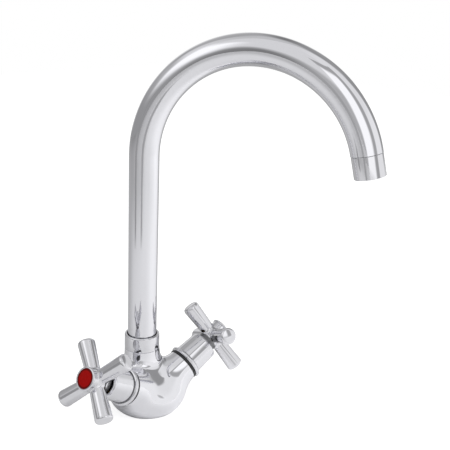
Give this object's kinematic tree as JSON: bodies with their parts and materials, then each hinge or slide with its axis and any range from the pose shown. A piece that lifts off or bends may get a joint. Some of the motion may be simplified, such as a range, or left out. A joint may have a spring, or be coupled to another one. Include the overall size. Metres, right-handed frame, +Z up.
{
  "type": "kitchen mixer tap",
  "caption": "Chromed deck-mounted kitchen mixer tap with a high swan-neck swivel spout, a rounded bowl-shaped body and raised side valves turned by cross handles.",
  "frame": {"origin": "centre of the round foot, on the face that stands on the worktop", "axes": "+Z up along the spout's swivel axis, +X towards the cold valve, -Y towards the user; the hot valve is at -X"},
  "size_m": [0.1739, 0.1954, 0.3149],
  "materials": {
    "chrome_body": "mirror-polished chrome plate on cast brass",
    "chrome_tube": "polished chrome plate on drawn brass tube",
    "chrome_handle": "polished chrome plate on cast zinc",
    "chrome": "polished chrome plate",
    "brass": "turned, unplated",
    "ceramic": "lapped, fine gloss",
    "steel": "turned",
    "black_rubber": "satin",
    "grey_rubber": "satin",
    "black_plastic": "matte",
    "white_plastic": "moulded",
    "grey_plastic": "moulded",
    "red_plastic": "glossy, plain",
    "blue_plastic": "glossy, plain"
  },
  "bodies": {
    "tap_body": {"body": "chrome_body", "foot_seal": "grey_rubber", "slide_ring": "white_plastic", "collar_nut": "chrome", "hot_headwork": "brass", "hot_fixed_disc": "ceramic", "hot_seat_seal": "black_rubber", "hot_washer": "black_plastic", "hot_shroud": "chrome", "cold_headwork": "brass", "cold_fixed_disc": "ceramic", "cold_seat_seal": "black_rubber", "cold_washer": "black_plastic", "cold_shroud": "chrome"},
    "spout": {"spout_tube": "chrome_tube", "spout_spigot": "brass", "spigot_seals": "black_rubber", "snap_ring": "white_plastic", "outlet_bush": "brass", "outlet_cap": "chrome", "outlet_washer": "grey_rubber", "flow_insert": "grey_plastic", "outlet_screen": "steel"},
    "hot_turn": {"hot_handle": "chrome_handle", "hot_spline_insert": "white_plastic", "hot_handle_screw": "steel", "hot_index_disc": "red_plastic", "hot_spindle": "brass", "hot_spindle_seals": "black_rubber", "hot_spindle_clip": "steel", "hot_turning_disc": "ceramic"},
    "cold_turn": {"cold_handle": "chrome_handle", "cold_spline_insert": "white_plastic", "cold_handle_screw": "steel", "cold_index_disc": "blue_plastic", "cold_spindle": "brass", "cold_spindle_seals": "black_rubber", "cold_spindle_clip": "steel", "cold_turning_disc": "ceramic"}
  },
  "joints": [
    {"name": "spout_swivel", "type": "hinge", "parent": "tap_body", "child": "spout", "pos_m": [0, 0.0072, 0], "axis": [0, 0, 1], "continuous": true},
    {"name": "hot_valve_turn", "type": "hinge", "parent": "tap_body", "child": "hot_turn", "pos_m": [0, -0.008, 0.0134], "axis": [-0.8713, -0.0762, 0.4848], "range_deg": [0, 90]},
    {"name": "cold_valve_turn", "type": "hinge", "parent": "tap_body", "child": "cold_turn", "pos_m": [0, -0.008, 0.0134], "axis": [0.8713, -0.0762, 0.4848], "range_deg": [0, 90]}
  ]
}
